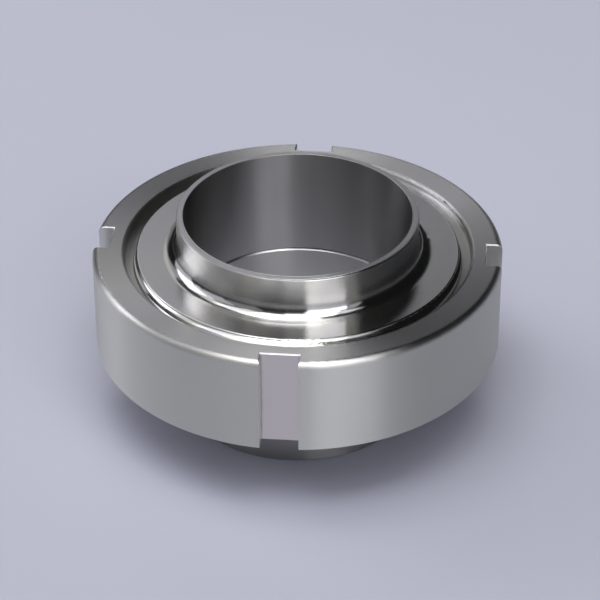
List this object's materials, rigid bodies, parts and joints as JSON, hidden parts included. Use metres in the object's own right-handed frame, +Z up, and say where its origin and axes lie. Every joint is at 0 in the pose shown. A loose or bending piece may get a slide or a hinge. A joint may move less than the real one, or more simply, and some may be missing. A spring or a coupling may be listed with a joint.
{
  "type": "sanitary union",
  "caption": "Round slotted-nut pipe union for sanitary tube: weld liner and threaded weld male part, pulled together by the nut over a rubber joint ring.",
  "frame": {"origin": "centre of the male part's weld face, on the surface that the union stands on", "axes": "+Z up the common axis of both tube ends, from male part to liner; the nut's slots lie on +X, +Y, -X and -Y"},
  "size_m": [0.0896, 0.0896, 0.0475],
  "materials": {
    "male_steel": "bright turned",
    "ring_rubber": "moulded, matt",
    "liner_steel": "bright turned and polished",
    "nut_steel": "bright turned"
  },
  "bodies": {
    "male": {"male_part": "male_steel", "joint_ring": "ring_rubber"},
    "liner": {"liner": "liner_steel"},
    "nut": {"slotted_nut": "nut_steel"}
  },
  "joints": [
    {"name": "liner_lift", "type": "slide", "parent": "male", "child": "liner", "axis": [0, 0, 1], "range_m": [0, 0.0106]},
    {"name": "nut_turn", "type": "hinge", "parent": "liner", "child": "nut", "pos_m": [0, 0, 0.028], "axis": [0, 0, 1], "range_deg": [0, 900]}
  ],
  "couplings": [
    {"joint": "liner_lift", "follows": "nut_turn", "m_per_rad": 0.00067376}
  ]
}
